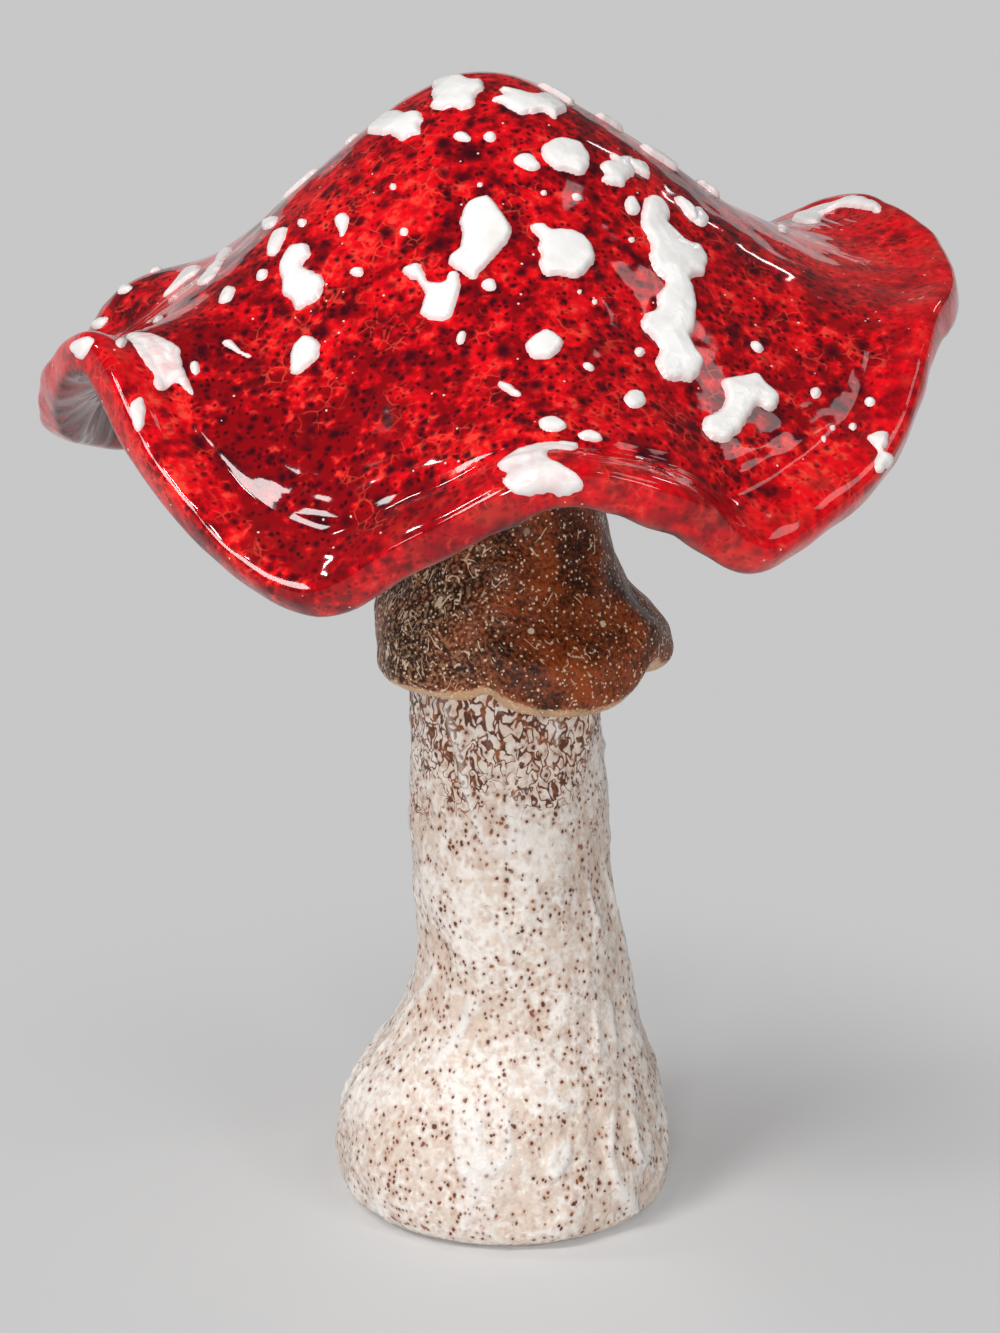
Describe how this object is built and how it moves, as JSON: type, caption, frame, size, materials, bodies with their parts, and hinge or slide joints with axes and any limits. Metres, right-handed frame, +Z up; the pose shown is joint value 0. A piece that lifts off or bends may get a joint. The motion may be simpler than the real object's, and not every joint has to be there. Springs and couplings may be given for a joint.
{
  "type": "ceramic mushroom ornament",
  "caption": "Glazed ceramic mushroom with a wavy spotted cap that lifts off a flared hollow stem with a skirt.",
  "frame": {"origin": "centre of the flat foot ring, on the stem's axis, at the surface that the ornament stands on", "axes": "+Z up along the stem, -Y towards the front that the picture shows, +X to its right"},
  "size_m": [0.1542, 0.1567, 0.1994],
  "materials": {
    "cream_glaze": "gloss",
    "brown_glaze": "gloss",
    "red_glaze": "gloss",
    "dark_glaze": "gloss",
    "white_glaze": "gloss"
  },
  "bodies": {
    "stem_body": {"stem": "cream_glaze", "skirt": "brown_glaze"},
    "cap_body": {"cap": "red_glaze", "collar": "dark_glaze", "large_spots": "white_glaze", "small_spots": "white_glaze"}
  },
  "joints": [
    {"name": "cap_lift", "type": "slide", "parent": "stem_body", "child": "cap_body", "axis": [0, 0, 1], "range_m": [0, 0.06]}
  ]
}
